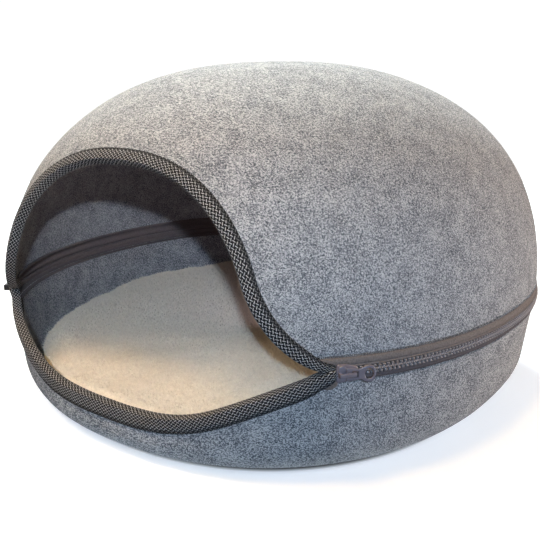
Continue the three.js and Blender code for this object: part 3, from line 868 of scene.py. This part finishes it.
teeth = {
    "pitch": 0.0033,
    "start": 50.9,
    "end": 312.3,
    "out": 0.0004,
    "inTape": 0.0003,
    "jitter": 0.05,
    "corner": 0.62,
    "sideBack": 0.6,
    "sideFront": 0.55,
    # from the tape to the head: how far from the tape, half length, inner and outer depth
    "rows": [
        (0.0000, 0.00085, -0.0010, 0.0007),
        (0.0003, 0.00115, -0.0012, 0.0014),
        (0.0010, 0.00115, -0.0012, 0.0016),
        (0.0014, 0.00075, -0.0011, 0.0009),
        (0.0020, 0.00065, -0.0011, 0.0009),
        (0.0025, 0.00085, -0.0012, 0.0017),
        (0.0032, 0.00085, -0.0012, 0.0018),
        (0.0037, 0.00045, -0.0010, 0.0011),
    ],
}


# one moulded tooth: it stands on the upper tape, its head past the middle of the chain
def toothShape():
    points = []
    for away, half, back, front in teeth["rows"]:
        y, corner = tape["chainHalf"] + teeth["inTape"] - away, half * teeth["corner"]
        low, high = back * teeth["sideBack"], front * teeth["sideFront"]
        points += [(-half, y, low), (-half, y, high), (-corner, y, front), (corner, y, front),
                   (half, y, high), (half, y, low), (corner, y, back), (-corner, y, back)]
    return addObject("tooth", closedMesh("tooth", points, tubeFaces(len(teeth["rows"]), 8)))


# every other tooth is turned round, so that it stands on the lower tape
def teethMesh():
    turn = zipPath(teeth["start"], teeth["end"], teeth["pitch"] / 2)[0]
    x, y = planPoint(turn, -teeth["out"])
    line = np.stack([x, y, np.full(len(x), cave["zipHeight"])], -1)
    outward = unit(np.cross(np.gradient(line, axis=0), np.array([0.0, 0.0, 1.0])))
    tooth = toothShape()
    mesh = repeatAlong("zipTeeth", line, outward, tooth, teeth["pitch"] / 2, math.pi, teeth["jitter"],
                       toothPlastic)
    bpy.data.objects.remove(tooth)
    return mesh


zipTeeth = addPiece("zipTeeth", teethMesh(), toothPlastic, "zip_plastic", "zip_chain")

seam = {"length": 0.0027, "thick": 0.00042, "pitch": 0.0031, "jitter": 0.05}


def stitchShape():
    points = []
    for share in (0.0, 0.12, 0.35, 0.65, 0.88, 1.0):
        bow = math.sin(math.pi * share)
        x, lift = (share - 0.5) * seam["length"], seam["thick"] * (1.1 * bow - 0.35)
        size = seam["thick"] / 2 * (0.55 + 0.45 * bow)
        ring = np.radians((30, 90, 150, 210, 270, 330))
        points += [(x, size * math.cos(a), lift + size * math.sin(a)) for a in ring]
    return addObject("stitch", closedMesh("stitch", points, tubeFaces(6, 6)))


def sewnLine(name, points, outward):
    stitch = stitchShape()
    mesh = repeatAlong(name, points[::4], outward[::4], stitch, seam["pitch"], 0.0, seam["jitter"],
                       sewingThread)
    bpy.data.objects.remove(stitch)
    return addPiece(name, mesh, sewingThread, "binding")


archStitches = sewnLine("archStitches", archSeam, archOut)
dipStitches = sewnLine("dipStitches", dipSeam, dipOut)

fuzz = {"length": 0.0026, "width": 0.0005, "lift": 0.0002, "pitch": 0.0013, "lean": 0.7}


# one felt fibre: a flat blade that lies across an edge
def fibreShape():
    reach, half, lift = fuzz["length"] / 2, fuzz["width"] / 2, fuzz["lift"]
    points = [(0, -reach, -lift), (-half, -reach / 2, lift), (half, -reach / 2, lift),
              (-half, reach / 2, lift), (half, reach / 2, lift), (0, reach, -lift), (0, 0, -lift)]
    faces = [(0, 2, 1), (1, 2, 4, 3), (3, 4, 5), (0, 1, 6), (1, 3, 6), (3, 5, 6), (5, 4, 6), (4, 2, 6),
             (2, 0, 6)]
    return addObject("fibre", closedMesh("fibre", points, faces))


# loose fibres along a cut edge beside the zip
def fuzzyEdge(name, face, along, finish):
    turn = zipPath(tape["start"], 360 - tape["start"], fuzz["pitch"])[0]
    points, outward = face(turn, along), faceDirections(face, turn, along)[2]
    fibre = fibreShape()
    mesh = repeatAlong(name, points, outward, fibre, fuzz["pitch"], 0.0, fuzz["lean"], finish)
    bpy.data.objects.remove(fibre)
    return addPiece(name, mesh, finish, "felt")


domeFuzz = fuzzyEdge("domeFuzz", domePoint, riseAt(np.array(domeLevel)), domeFelt)
baseFuzz = fuzzyEdge("baseFuzz", basePoint, climbAt(np.array(baseLevel)), baseFelt)
print("teeth, seams and fibres made")

slider = {
    "turn": 49.0,
    "length": 0.014,
    "mouth": 0.0126,
    "tail": 0.0076,
    "corner": 0.002,
    "waist": 0.001,
    "backShare": 0.72,
    "plate": 0.002,
    "slot": 0.003,
    "post": (-0.004, 0.002, 0.0018),
    "crown": (-0.0034, 0.0030, 0.0029, 0.0029),
    "crownRise": 0.0012,
    "sunk": 0.0006,
    "bridge": {"length": 0.0114, "half": 0.0014, "rise": 0.0044, "bar": 0.0014, "foot": 0.0018,
               "shift": -0.0004},
    "bevel": 0.0006,
}

# the pull's half outline is along and half width, in mm
pull = {
    "half": [(0, 4.1), (3, 4.5), (9, 3.7), (12.2, 5.2), (15.3, 6), (18.4, 4.5), (19.8, 0)],
    "thickness": 0.0015,
    "ringHole": (0.0153, 0, 0.0029, 0.0037),
    "slotHole": (0.002, 0.008, 0.0022),
    "shift": -0.0012,
    "lift": 0.0017,
    "tilt": math.radians(5.5),
}


# a plate from flat outlines, the first its rim and the others its holes; it faces +Z
def plateMesh(outlines, low, high, bevel):
    curve = bpy.data.curves.new("plate", "CURVE")
    curve.dimensions = "2D"
    curve.fill_mode = "BOTH"
    bevel = min(bevel, (high - low) * 0.45)
    curve.extrude = (high - low) / 2 - bevel
    curve.bevel_depth = bevel
    curve.bevel_resolution = 2
    curve.offset = -bevel
    for outline in outlines:
        spline = curve.splines.new("POLY")
        spline.points.add(len(outline) - 1)
        spline.points.foreach_set("co", np.array([(x, y, 0, 1) for x, y in outline]).ravel())
        spline.use_cyclic_u = True
    mesh = plainMesh(addObject("plate", curve), "plate")
    mesh.transform(Matrix.Translation((0, 0, (low + high) / 2)))
    return mesh


def curvePoints(corners, steps):
    a, b, c = (np.array(corner, float) for corner in corners)
    share = np.linspace(0, 1, steps)[:, None]
    return ((1 - share) ** 2 * a + 2 * share * (1 - share) * b + share ** 2 * c).tolist()


def shieldOutline(scale):
    left, right = -slider["length"] / 2, slider["length"] / 2
    mouth, tail = slider["mouth"] / 2 * scale, slider["tail"] / 2 * scale
    corner, waist = slider["corner"], slider["waist"]
    upper = curvePoints([(left, mouth - corner), (left, mouth), (left + corner, mouth)], 5)[:-1]
    upper += curvePoints([(left + corner, mouth), (waist, mouth), (right, tail)], 12)
    return upper + [(x, -y) for x, y in reversed(upper)]


def boxOutline(left, right, half):
    return [(left, -half), (right, -half), (right, half), (left, half)]


def ovalOutline(x, y, halfLong, halfHigh):
    turns = np.linspace(0, 2 * math.pi, 28, False)
    return [(x + halfLong * math.cos(a), y + halfHigh * math.sin(a)) for a in turns]


# a smooth curve through the pull's half outline, and its mirror
def pullOutline():
    rows = np.array(pull["half"]) / 1000
    padded = np.vstack([2 * rows[0] - rows[1], rows, 2 * rows[-1] - rows[-2]])
    upper = []
    for value in np.linspace(0, len(rows) - 1, 43):
        k = min(int(value), len(rows) - 2)
        t = value - k
        a, b, c, d = padded[k:k + 4]
        bend, twist = 2 * a - 5 * b + 4 * c - d, 3 * b - a - 3 * c + d
        x, y = 0.5 * (2 * b + (c - a) * t + bend * t ** 2 + twist * t ** 3)
        upper.append((float(x), max(0.0, float(y))))
    return upper + [(x, -y) for x, y in reversed(upper[:-1])]


# joins meshes into one, in the frame of a place on the zip: X along it, Y up, Z outwards
def zipMesh(name, parts, place):
    shape = bmesh.new()
    for mesh in parts:
        shape.from_mesh(mesh)
        bpy.data.meshes.remove(mesh)
    bmesh.ops.remove_doubles(shape, verts=shape.verts, dist=1e-7)
    bmesh.ops.recalc_face_normals(shape, faces=shape.faces)
    bmesh.ops.transform(shape, matrix=place, verts=shape.verts)
    mesh = bpy.data.meshes.new(name)
    shape.to_mesh(mesh)
    shape.free()
    mesh.shade_smooth()
    mesh.set_sharp_from_angle(angle=math.radians(50))
    return mesh


def zipPlace(turnDegrees):
    turn = math.radians(turnDegrees)
    x, y = planPoint(np.array([turn - 0.01, turn, turn + 0.01]), 0)
    ahead = Vector((x[2] - x[0], y[2] - y[0], 0)).normalized()
    out = ahead.cross(Vector((0, 0, 1)))
    place = Matrix((ahead, Vector((0, 0, 1)), out)).transposed().to_4x4()
    place.translation = (x[1], y[1], cave["zipHeight"])
    return place


# front and back plate, the post between them, and a crown and a bridge on the front
def sliderParts():
    look, bridge = slider, slider["bridge"]
    slotIn, slotOut = tape["proud"] - look["slot"] / 2, tape["proud"] + look["slot"] / 2
    front, bevel, soft = slotOut + look["plate"], look["bevel"], look["bevel"] * 1.6
    start, end = bridge["shift"] - bridge["length"] / 2, bridge["shift"] + bridge["length"] / 2
    sunk, crest = front - look["sunk"], front + bridge["rise"]
    feet = [boxOutline(start, start + bridge["foot"], bridge["half"]),
            boxOutline(end - bridge["foot"], end, bridge["half"])]
    parts = [plateMesh([shieldOutline(1.0)], slotOut, front, soft),
             plateMesh([shieldOutline(look["backShare"])], slotIn - look["plate"], slotIn, bevel),
             plateMesh([boxOutline(*look["post"])], slotIn - 0.0005, slotOut + 0.0005, bevel),
             plateMesh([ovalOutline(*look["crown"])], sunk, front + look["crownRise"], soft)]
    parts += [plateMesh([foot], sunk, crest - 0.0002, bevel) for foot in feet]
    parts.append(plateMesh([boxOutline(start, end, bridge["half"])], crest - bridge["bar"], crest, bevel))
    return parts, front


sliderPlace = zipPlace(slider["turn"])
bodyParts, sliderFront = sliderParts()
sliderMesh = zipMesh("zipSlider", bodyParts, sliderPlace)
zipSlider = addPiece("zipSlider", sliderMesh, sliderPlastic, "zip_plastic", "zip_slider")
pullOutlines = [pullOutline(), ovalOutline(*pull["ringHole"]), boxOutline(*pull["slotHole"])]
pullPlate = plateMesh(pullOutlines, -pull["thickness"] / 2, pull["thickness"] / 2, slider["bevel"])
pullPlace = Matrix.Translation((pull["shift"], 0, sliderFront + pull["lift"]))
pullPlace = sliderPlace @ pullPlace @ Matrix.Rotation(-pull["tilt"], 4, "Y")
pullMesh = zipMesh("zipPull", [pullPlate], pullPlace)
zipPull = addPiece("zipPull", pullMesh, sliderPlastic, "zip_plastic", "zip_pull")

endBox = {"turn": -46.8, "long": 0.006, "deep": 0.010, "high": 0.0052, "out": 0.0036, "bevel": 0.0008}
endPlate = plateMesh([boxOutline(-endBox["long"] / 2, endBox["long"] / 2, endBox["high"] / 2)],
                     endBox["out"] - endBox["deep"] / 2, endBox["out"] + endBox["deep"] / 2, endBox["bevel"])
endMesh = zipMesh("zipEnd", [endPlate], zipPlace(endBox["turn"]))
zipEnd = addPiece("zipEnd", endMesh, endPlastic, "zip_plastic", "zip_end")
print("slider made")

cushionLook = {
    "underGap": 0.0006,
    "gap": 0.0032,
    "side": 0.026,
    # share of the way out, and height
    "top": [(1.0, 0.026), (0.99, 0.0315), (0.965, 0.0362), (0.91, 0.0392), (0.75, 0.0418), (0.45, 0.0438),
            (0.0, 0.0443)],
    "tilt": 0.005,
    "wings": 0.007,
    "columns": 150,
    "voxel": 0.005,
    "heldBelow": 0.012,
    "pressure": 4.0,
    "frames": 20,
    "cap": 0.005,
    "dents": ((0.05, 0.0022, 2.2), (0.014, 0.0009, 5.2)),  # wave, amount, seed
    "dentHeights": (0.03, 0.038),
    "fill": 0.45,
}


# the cushion before it is filled: sides along the base, a low crowned top
def slackCushion():
    look = cushionLook
    turn = np.linspace(0, 2 * math.pi, look["columns"], False)
    side = float(climbAt(np.array(look["side"])))
    rings = []
    for share in (0.0, 0.2, 0.4, 0.6, 0.8, 1.0):
        inset = cave["felt"] + look["underGap"] + (look["gap"] - look["underGap"]) * math.sqrt(share)
        rings.append(liftedPoint(basePoint, turn, side * share, -inset))
    foot, widest = rings[0], rings[-1]
    under = [foot * [share, share, 1] for share in (0.0, 0.25, 0.5, 0.75)]
    table = np.array(look["top"])[::-1]
    over = []
    for share in np.r_[np.linspace(1, 0.9, 8)[1:], np.linspace(0.9, 0, 14)[1:]]:
        ring = widest * [share, share, 0]
        tilt = look["tilt"] * ring[:, 1] / cave["halfDepth"]
        wings = look["wings"] * (ring[:, 0] / cave["halfWidth"]) ** 2
        ring[:, 2] = np.interp(share, table[:, 0], table[:, 1]) + tilt + wings
        over.append(ring)
    loops = np.stack(under + rings + over, 1)
    return closedMesh("cushion", loops, gridFaces(len(turn), loops.shape[1], True, True))


# blows the slack cover up with the cloth solver, its underside held
def blowUp(pad):
    look = cushionLook
    before = meshPoints(pad.data)
    held = pad.vertex_groups.new(name="held")
    held.add([int(k) for k in np.flatnonzero(before[:, 2] < look["heldBelow"])], 1.0, "REPLACE")
    cloth = pad.modifiers.new("cloth", "CLOTH")
    cloth.settings.use_pressure, cloth.settings.uniform_pressure_force = True, look["pressure"]
    cloth.settings.effector_weights.gravity = 0
    cloth.settings.vertex_group_mass = "held"
    cloth.point_cache.frame_start, cloth.point_cache.frame_end = 1, look["frames"]
    for number in range(1, look["frames"] + 1):
        bpy.context.scene.frame_set(number)
    moved = meshPoints(pad.evaluated_get(bpy.context.evaluated_depsgraph_get()).data) - before
    bpy.context.scene.frame_set(1)
    pad.modifiers.remove(cloth)
    far = np.linalg.norm(moved, axis=1, keepdims=True)
    after = before + moved * np.minimum(1, look["cap"] / np.maximum(far, 1e-9))
    pad.data.vertices.foreach_set("co", after.ravel())


def cushionMesh():
    look = cushionLook
    pad = addObject("cushion", slackCushion())
    remesh = pad.modifiers.new("even", "REMESH")
    remesh.mode, remesh.voxel_size = "VOXEL", look["voxel"]
    pad = addObject("cushion", plainMesh(pad, "cushion"))
    blowUp(pad)
    finer = pad.modifiers.new("finer", "SUBSURF")
    finer.levels = finer.render_levels = 1
    mesh = plainMesh(pad, "cushion")
    points = meshPoints(mesh)
    dents = sum(unevenness(points, *dent) for dent in look["dents"])
    points[:, 2] += dents * smooth(points[:, 2], *look["dentHeights"])
    mesh.vertices.foreach_set("co", points.ravel())
    mesh.shade_smooth()
    return mesh


cushion = addPiece("fleeceCushion", cushionMesh(), creamFleece, "fleece", "cushion")
print("cushion made")

pile = {
    "density": 1150000.0,
    "length": 0.0032,
    "width": 0.0007,
    "root": 0.0005,
    "lean": 0.8,
    "least": 0.0315,
    "tufts": 240.0,
    "seed": 11,
}


# one lock of fleece: a thin leaning blade that starts in the cloth
def lockShape():
    length, half, root = pile["length"], pile["width"] / 2, pile["root"]
    mesh = bpy.data.meshes.new("lock")
    mesh.from_pydata([(0, -half, -root), (0, half, -root), (length * 0.45, 0, length * 0.8)], [], [(0, 1, 2)])
    mesh.shade_smooth()
    return addObject("lock", mesh)


def pileMesh():
    lock = lockShape()
    ground = addObject("cushionPile", cushion.data.copy())
    setInputs(ground, scatter, {"Shape": lock, "Density": pile["density"], "Lean": pile["lean"],
                                "Least height": pile["least"], "Tufts": pile["tufts"], "Seed": pile["seed"],
                                "Finish": creamFleece})
    mesh = plainMesh(ground, "cushionPile")
    bpy.data.objects.remove(lock)
    return mesh


cushionPile = addPiece("cushionPile", pileMesh(), creamFleece, "fleece")
print("pile made", len(cushionPile.data.polygons))
# the camera: lengths in metres, angles in degrees, focal length, frame and its middle in pixels
view = {
    "focal": 718.717,
    "frame": 540.0,
    "middle": (273.241, 268.179),
    "azimuth": 35.638,
    "elevation": 14.921,
    "distance": 0.687041,
    "aimHeight": 0.093716,
}


# a direction out of the cave: degrees to the right of the camera's side, and up
def sideOf(right, up):
    a, e = math.radians(view["azimuth"] + right), math.radians(up)
    return Vector((math.sin(a) * math.cos(e), -math.cos(a) * math.cos(e), math.sin(e)))


# contact and the glowing ring are shares of the base's foot, from its middle; the contact line is painted
# shade, the ring's glow painted light
floor = {
    "radius": 1.4,
    "below": 0.0004,
    "seen": (0.9, 0.9, 0.9),
    "mottled": (0.75, 0.75, 0.75),
    "glow": 0.4,
    "bounced": (0.1, 0.1, 0.1),
    # contact and shade paint a line of shade on the floor; the ring's glow is painted light
    "contact": (1.036, 1.078),
    "shade": 0.04,
    "ringGlow": 0.78,
    "ringGlowColor": (0.74, 0.87, 1.0),
    "glowRing": (1.15, 1.33),
}


# pale to the camera, with a line of painted shade where the base meets it; to light it throws
# little back, but for a glowing ring under the base's rounded edge: painted light on the base's foot
def floorFinish():
    finish, start, place = newFinish("paleFloor")
    black, foot, power = (0, 0, 0), cave["wallLean"] + cave["floorEdge"], cave["planPower"]
    reach = []
    for part, half in zip(place.parts(), (cave["halfWidth"], cave["halfDepth"])):
        reach.append(start.math("POWER", start.math("ABSOLUTE", part / (half - foot)), power))
    away = start.math("POWER", reach[0] + reach[1], 1 / power)
    # painted contact shade: the floor's colour and glow darken where the base meets it
    lit = away.rise(*floor["contact"]) * (1 - floor["shade"]) + floor["shade"]
    mottled = (place.noise(4.0, 1.0) * 0.02).blend(floor["seen"], floor["mottled"])
    # painted light: a glowing ring, seen by light rays only, that lights the base's foot
    ring = away.rise(*floor["glowRing"]).blend(floor["ringGlowColor"], black)
    plain = {"Roughness": 1.0, "Specular IOR Level": 0.0}
    seen = start.node("ShaderNodeBsdfPrincipled", {}, {
        "Base Color": lit.blend(black, mottled), "Emission Color": lit.blend(black, (1, 1, 1)),
        "Emission Strength": floor["glow"], **plain})
    dim = start.node("ShaderNodeBsdfPrincipled", {}, {
        "Base Color": (*floor["bounced"], 1), "Emission Color": ring,
        "Emission Strength": floor["ringGlow"], **plain})
    direct = start.node("ShaderNodeLightPath", out="Is Camera Ray")
    mixed = start.node("ShaderNodeMixShader", {}, {0: direct, 1: dim, 2: seen})
    start.node("ShaderNodeOutputMaterial", {}, {"Surface": mixed})
    return finish


turns = np.linspace(0, 2 * math.pi, 96, False)
rim = [(floor["radius"] * math.cos(a), floor["radius"] * math.sin(a), -floor["below"]) for a in turns]
floorMesh = bpy.data.meshes.new("floor")
floorMesh.from_pydata(rim, [], [range(len(rim))])
addObject("floor", floorMesh, floorFinish())

# a white backdrop behind the cave; the room on the camera's side is dim
studio = {"backdrop": 1.05, "room": 0.06, "edge": (0.25, 0.75), "aim": (0, 0, 0.1), "away": 1.5}
# right of the camera's side, up, size, power, colour
lights = {
    "back": (180, 45, 0.4, 47, (0.8, 0.94, 1.0)),
    "right": (88, 6, 0.3, 8.4, (1.0, 0.69, 0.54)),
    "left": (-90, 45, 0.4, 7.4, (1.0, 0.96, 0.92)),
    "leftFront": (-60, 45, 0.4, 2.4, (1.0, 0.6, 0.27)),
    "front": (0, 45, 0.4, 1.1, (1.0, 0.94, 0.7)),
    "top": (-30, 70, 0.4, 10.4, (1.0, 0.65, 0.24)),
}
# place, what it points at, size, power, colour, spread
spots = {
    "flash": ((0.590, -0.783, 0.445), (0, 0, 0.1), 0.03, 5.3, (0.43, 0.67, 1.0), 180),
    "narrow": ((0.590, -0.783, 0.445), (-0.16, -0.12, 0.14), 0.03, 0.126, (1.0, 0.85, 0.7), 34),
    "inside": ((0.03, -0.1, 0.1), (-0.03, 0.06, 0.28), 0.1, 0.075, (1.0, 0.81, 0.94), 180),
    "fill": ((0.07, -0.08, 0.15), (0.06, -0.14, 0.04), 0.06, 0.0105, (1.0, 0.92, 0.8), 90),
    "low": ((0.56, 0.13, 0.015), (0.2, 0.05, 0.06), 0.16, 1.15, (1.0, 0.97, 0.92), 180),
}
world = bpy.data.worlds.new("studio")
bpy.context.scene.world = world
world.use_nodes = True
world.node_tree.nodes.clear()
start = Wire(world.node_tree)
facing = start.node("ShaderNodeVectorMath", {"operation": "DOT_PRODUCT"},
                    {0: start.node("ShaderNodeTexCoord", out="Generated"), 1: sideOf(180, 0)}, "Value")
glow = facing.rise(*studio["edge"]) * (studio["backdrop"] - studio["room"]) + studio["room"]
direct = start.node("ShaderNodeLightPath", out="Is Camera Ray")
shown = start.math("MAXIMUM", glow, direct * studio["backdrop"])
white = start.node("ShaderNodeBackground", {}, {"Color": (1, 1, 1, 1), "Strength": shown})
start.node("ShaderNodeOutputWorld", {}, {"Surface": white})


def addLight(name, place, aim, size, power, color, spread):
    light = bpy.data.lights.new(name, "AREA")
    light.shape, light.size, light.energy, light.color = "DISK", size, power, color
    light.spread = math.radians(spread)
    lamp = bpy.data.objects.new(name, light)
    lamp.location = place
    lamp.rotation_euler = (Vector(aim) - Vector(place)).to_track_quat("-Z", "Y").to_euler()
    lamp.visible_camera = False
    bpy.context.scene.collection.objects.link(lamp)


for name, (right, up, size, power, color) in lights.items():
    place = Vector(studio["aim"]) + sideOf(right, up) * studio["away"]
    addLight(name, place, studio["aim"], size, power, color, 180)
for name, values in spots.items():
    addLight(name, *values)

camera = bpy.data.cameras.new("camera")
camera.sensor_width = 36.0
camera.lens = view["focal"] / view["frame"] * camera.sensor_width
camera.shift_x = (view["frame"] / 2 - view["middle"][0]) / view["frame"]
camera.shift_y = (view["middle"][1] - view["frame"] / 2) / view["frame"]
camera.clip_start, camera.clip_end = 0.01, 50.0
backward = sideOf(0, view["elevation"])
eye = bpy.data.objects.new("camera", camera)
eye.location = backward * view["distance"] + Vector((0, 0, view["aimHeight"]))
eye.rotation_mode = "QUATERNION"
eye.rotation_quaternion = (-backward).to_track_quat("-Z", "Y")
bpy.context.scene.collection.objects.link(eye)
bpy.context.scene.camera = eye
bpy.context.scene.view_settings.view_transform = "Standard"
print("studio made")

print("scene done")
